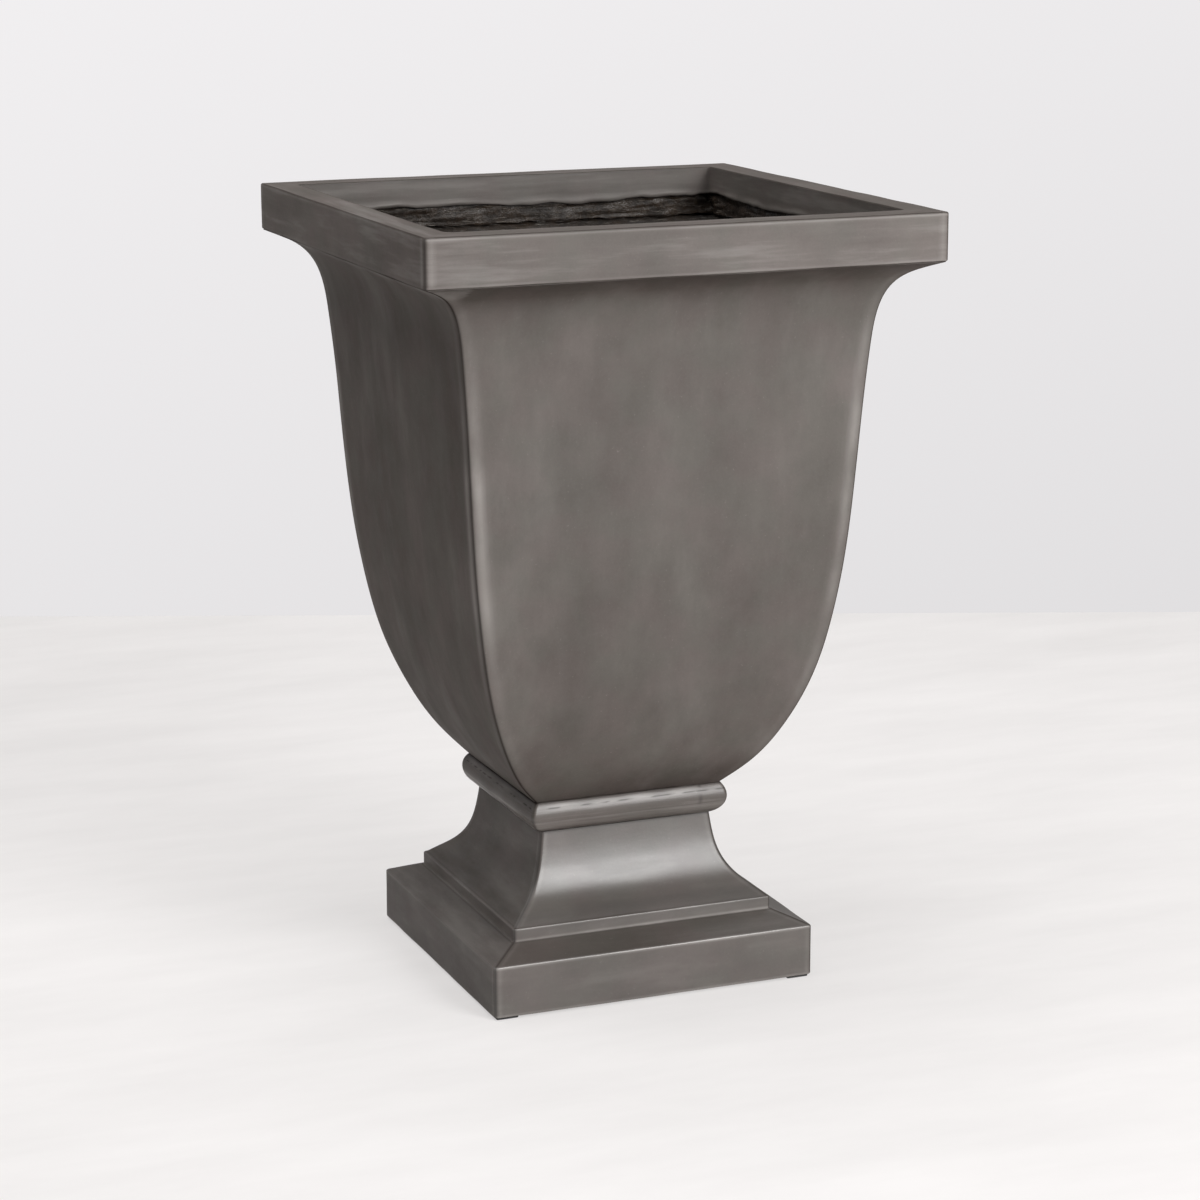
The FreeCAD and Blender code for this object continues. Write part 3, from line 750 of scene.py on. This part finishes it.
# Dark lines at the joints, at the cove's foot and along the gap under the plinth: painted shade.
shade_lines = lines(
    pedestal_rows,
    (band_half + 0.0018, band_foot - 0.0006, 0.0014, 0.6),
    (plinth_half - 0.0035, shoulder_foot + 0.0008, 0.0012, 0.4),
    (band_half - 0.003, cove_foot + 0.0006, 0.0012, 0.5),
    (band_half - 0.010, cove_foot + 0.0040, 0.0130, 0.45),
    (neck_half, neck_top, 0.0014, 0.9),
    (plinth_half, plinth_foot - 0.0006, 0.0010, 0.7),
)
# The left side's shoulder, band and low cove are painted lighter, as painted light.
low_down = np.clip((cove_foot + left_light_rise - points[..., 2]) / left_light_rise, 0, 1)
low_down *= points[..., 2] > shoulder_foot
left_painted_light = left_light_share * low_down * (points[..., 0] < -0.003 - np.abs(points[..., 1]))
# A pale strip beside each upright corner is a painted highlight, and the dark line on the corner itself is a
# painted dark reflection.
corner_wear = 0.2 * corner_line(pedestal_rows, 0.0020, 0.0048)
patina_pedestal = patina("patina_pedestal", pedestal_streaks, rough=0.34, chalk=0.2, gloss=0.85)
pedestal_resin = rough_laminate("pedestal_resin", (0.03, 0.027, 0.023), (0.10, 0.09, 0.08))
pedestal = skin(
    "pedestal", pedestal_rows, points, patina_pedestal, "planter", "pedestal_shell", "patinated_laminate",
    wear=is_outside * np.maximum(pale_edge_lines * mostly_front(points) + left_painted_light, corner_wear),
    grime=is_outside * np.maximum(shade_lines, 0.8 * corner_line(pedestal_rows, 0.0013)),
)
two_finishes(pedestal, pedestal_resin, points.shape[1], outside_to + 1, len(pedestal_rows))

# ------------------------------------------------------------------------------
# Neck bolts: four plated steel bolts pull bowl, collar and pedestal together. Each head stands on a rubber
# sealing washer on the bowl's floor, and each nut holds a plain washer against the pedestal's top flange.
bolt_box, nut_box, seal_box, washer_box = (
    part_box("joint_" + kind) for kind in ("bolts", "nuts", "sealing_washers", "washers")
)
across_flats, washer_radius, seal_radius, bore_radius = 0.013, 0.008, 0.011, 0.0042
thread_radius, thread_depth, thread_pitch, threaded_length = 0.0040, 0.00065, 0.00125, 0.030
dish_radius, dish_floor, dish_depth = 0.0046, 0.0042, 0.0003
washer_face, washer_face_height, chamfer_radius, chamfer_height = 0.0057, 0.0003, 0.0062, 0.0008
hex_turn = np.linspace(0, 2 * math.pi, 48, endpoint=False)
bolt_offset = washer_box[1][0] - washer_radius
bolt_places = [(x * bolt_offset, y * bolt_offset, 0) for x in (-1, 1) for y in (-1, 1)]


def six_sided(height, low, high):
    """The radius of a hexagon with a corner on X, half its width across flats over the cosine of the angle
    from the nearest flat, cut by a 30 degree cone at each end that is within the chamfer's height of low or
    high."""
    flat = across_flats / 2 / np.cos((hex_turn % (math.pi / 3)) - math.pi / 6)
    from_end = np.minimum(height - low, high - height)
    return np.minimum(flat, chamfer_radius + np.maximum(from_end, 0) / math.tan(math.radians(30)))


def threaded(height):
    """The radius of a thread: the crest less a triangle wave of the height in pitches less the turn."""
    turns = height / thread_pitch - hex_turn / (2 * math.pi)
    return thread_radius - thread_depth * np.abs(2 * (turns % 1) - 1)


def turned(*stretches):
    """Rings of a turned piece, from pairs of a radius, one number or a grid over the turn, and heights."""
    rings = []
    for radius, heights in stretches:
        heights = np.atleast_1d(heights)[:, None]
        radius = np.broadcast_to(radius, (len(heights), len(hex_turn)))
        ring = [radius * np.cos(hex_turn), radius * np.sin(hex_turn), heights + 0 * radius]
        rings.append(np.stack(ring, axis=2))
    return np.vstack(rings)


def turned_pieces(name, rings, places, looped, material, body, node):
    """Copies of a turned piece in one mesh. A looped piece is joined from its last ring to its first, and
    the end rings of any other have no radius, so that merging them closes it."""
    size = rings.shape[0] * rings.shape[1]
    index = np.arange(size).reshape(rings.shape[:2])
    index = np.vstack([index, index[:1]]) if looped else index
    beside = np.roll(index, -1, axis=1)
    faces = np.stack([index[:-1], beside[:-1], beside[1:], index[1:]], axis=2).reshape(-1, 4)
    every_point = np.concatenate([rings.reshape(-1, 3) + place for place in places])
    every_face = np.concatenate([faces + number * size for number in range(len(places))])
    mesh = bpy.data.meshes.new(name)
    mesh.from_pydata(every_point, [], every_face)
    work = bmesh.new()
    work.from_mesh(mesh)
    bmesh.ops.remove_doubles(work, verts=work.verts, dist=1e-6)
    bmesh.ops.recalc_face_normals(work, faces=work.faces)
    work.to_mesh(mesh)
    work.free()
    return finished(name, mesh, material, body, node)


def zinc(name):
    """Zinc plate with a dull blue-grey skin, cloudy, with darker spots where it has begun to go."""
    material, tree, output = blank(name)
    place = add(tree, "TexCoord").outputs["Object"]
    cloud, spot = noise(tree, place, 160.0, 4.0), noise(tree, place, 700.0, 3.0)
    base = mixed(tree, span(tree, cloud, 0.38, 0.62), (0.46, 0.47, 0.48), (0.62, 0.61, 0.58))
    base = mixed(tree, span(tree, spot, 0.60, 0.68, 0.0, 0.6), base, (0.20, 0.17, 0.14))
    bump = add(tree, "Bump", {"Height": spot, "Strength": 0.2, "Distance": 0.0002}).outputs[0]
    dull = span(tree, cloud, 0.35, 0.65, 0.28, 0.46)
    shader = add(tree, "BsdfPrincipled", {"Base Color": base, "Roughness": dull, "Normal": bump})
    shader.inputs["Metallic"].default_value = 1.0
    tree.links.new(shader.outputs[0], output.inputs["Surface"])
    return material


def rubber(name):
    """Black rubber with a grey bloom and a fine moulded grain."""
    material, tree, output = blank(name)
    place = add(tree, "TexCoord").outputs["Object"]
    bloom, grain = noise(tree, place, 90.0, 5.0), noise(tree, place, 1500.0, 2.0)
    base = mixed(tree, span(tree, bloom, 0.42, 0.66), (0.018, 0.018, 0.018), (0.060, 0.058, 0.056))
    bump = add(tree, "Bump", {"Height": grain, "Strength": 0.4, "Distance": 0.0002}).outputs[0]
    dull = span(tree, bloom, 0.35, 0.65, 0.50, 0.72)
    shader = add(tree, "BsdfPrincipled", {"Base Color": base, "Roughness": dull, "Normal": bump})
    tree.links.new(shader.outputs[0], output.inputs["Surface"])
    return material


zinc_plate, black_rubber = zinc("zinc_plate"), rubber("black_rubber")
tip, head_top, under_head = bolt_box[0][2], bolt_box[1][2], seal_box[1][2]
thread_heights = np.arange(tip + 0.001, tip + threaded_length, thread_pitch / 6)
face_top = under_head + washer_face_height
head_heights = np.array([face_top, head_top - chamfer_height, head_top - 0.0004, head_top])
bolt = turned(
    (0.0, tip),
    (thread_radius - 1.6 * thread_depth, tip),
    (threaded(thread_heights[:, None]), thread_heights),
    (thread_radius, [tip + threaded_length, under_head]),
    (washer_face, [under_head, face_top]),
    (six_sided(head_heights[:, None], under_head - 1, head_top), head_heights),
    (dish_radius, head_top),
    (dish_floor, head_top - dish_depth),
    (0.0, head_top - dish_depth),
)
turned_pieces("bolts", bolt, bolt_places, False, zinc_plate, "planter", "joint_bolts")

nut_low, nut_high = nut_box[0][2], nut_box[1][2]
nut_heights = np.array([nut_low, nut_low + 0.0004, nut_low + chamfer_height])
nut_heights = np.concatenate([nut_heights, (nut_low + nut_high - nut_heights)[::-1]])
bore_heights = np.arange(nut_high - 0.0005, nut_low + 0.0005, -thread_pitch / 6)
nut = turned(
    (six_sided(nut_heights[:, None], nut_low, nut_high), nut_heights),
    (bore_radius + 0.0004, nut_high),
    (threaded(bore_heights[:, None]) + 0.0001, bore_heights),
    (bore_radius + 0.0004, nut_low),
)
turned_pieces("nuts", nut, bolt_places, True, zinc_plate, "planter", "joint_nuts")


def washer(radius, bore, low, high, ease):
    """A flat ring with its four edges eased."""
    return turned(
        (radius - ease, low), (radius, [low + ease, high - ease]), (radius - ease, high),
        (bore + ease, high), (bore, [high - ease, low + ease]), (bore + ease, low),
    )


plain = washer(washer_radius, bore_radius + 0.0001, washer_box[0][2], washer_box[1][2], 0.0002)
turned_pieces(
    "washers", plain, bolt_places, True, zinc_plate, "planter", "joint_washers"
)
seal = washer(seal_radius, bore_radius, seal_box[0][2], seal_box[1][2], 0.0006)
turned_pieces(
    "seals", seal, bolt_places, True, black_rubber, "planter", "joint_sealing_washers"
)

# ------------------------------------------------------------------------------
# Drain plug: a moulded rubber stopper pushed into the floor's hole from above. Its crowned cap is ringed
# for grip, and its tapered stem has two sealing grooves. It pulls straight up.
plug_low, plug_high = (np.array(corner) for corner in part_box("drain_plug"))
cap_radius, cap_low, cap_high, plug_tip = plug_high[0], floor_level + 0.0003, plug_high[2], plug_low[2]
cap_edge, crown_inset, edge_round = 0.0025, 0.007, 0.0007
stem_radius, stem_taper, stem_groove = 0.0122, 0.0015, 0.0005
groove_places, grip_places = (0.0050, 0.0095), (0.0045, 0.0080)
groove_width, grip_width, grip_depth = 0.0008, 0.0006, 0.0004


def stem(heights):
    """The stem's radius: it tapers evenly down to the tip, less a rounded groove at each groove's place."""
    down = (cap_low - heights) / (cap_low - plug_tip)
    radius = stem_radius - stem_taper * down
    for place in groove_places:
        radius = radius - stem_groove * np.exp(-(((cap_low - heights - place) / groove_width) ** 2))
    return radius[:, None]


crown_radii = np.linspace(cap_radius - crown_inset, 0.0, 25)
grip_rings = sum(np.exp(-(((crown_radii - place) / grip_width) ** 2)) for place in grip_places)
crown_heights = cap_high - grip_depth * grip_rings
stem_heights = np.linspace(plug_tip + 0.001, cap_low, 40)
plug = turned(
    (0.0, plug_tip), (stem_radius - stem_taper - 0.001, plug_tip), (stem(stem_heights), stem_heights),
    (cap_radius - edge_round, cap_low), (cap_radius, [cap_low + edge_round, cap_low + cap_edge - edge_round]),
    (cap_radius - edge_round, cap_low + cap_edge), (crown_radii[:, None], crown_heights),
)
turned_pieces("plug", plug, [(0, 0, 0)], False, black_rubber, "drain_plug", "drain_plug")

# ------------------------------------------------------------------------------
# Pads: four square rubber pads glued under the plinth's corners. They hold it two millimetres off the
# ground, so that water gets away, and that gap shows as a thin line under the plinth.
pads_low, pads_high = (np.array(corner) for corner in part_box("foot_pads"))
pad_half, pad_corner, pad_round = 0.011, 0.0015, 0.0004
pad_offset = pads_high[0] - pad_half
pad_turn = np.linspace(0, 2 * math.pi, 64, endpoint=False)


def pad_ring(half_width, height):
    """A rounded square ring: a circle of the corner radius moved out by the rest of the half width."""
    flat = max(half_width - pad_corner, 0)
    corner = min(pad_corner, half_width)
    x = flat * np.sign(np.round(np.cos(pad_turn), 6)) + corner * np.cos(pad_turn)
    y = flat * np.sign(np.round(np.sin(pad_turn), 6)) + corner * np.sin(pad_turn)
    return np.column_stack([x, y, height + 0 * x])


low, high, ease = pads_low[2], pads_high[2], pad_round
pad = np.stack([
    pad_ring(0.0, low), pad_ring(pad_half - ease, low), pad_ring(pad_half, low + ease),
    pad_ring(pad_half, high - ease), pad_ring(pad_half - ease, high), pad_ring(0.0, high),
])
pad_places = [(x * pad_offset, y * pad_offset, 0) for x in (-1, 1) for y in (-1, 1)]
turned_pieces("pads", pad, pad_places, False, black_rubber, "planter", "foot_pads")

bpy.context.view_layer.update()
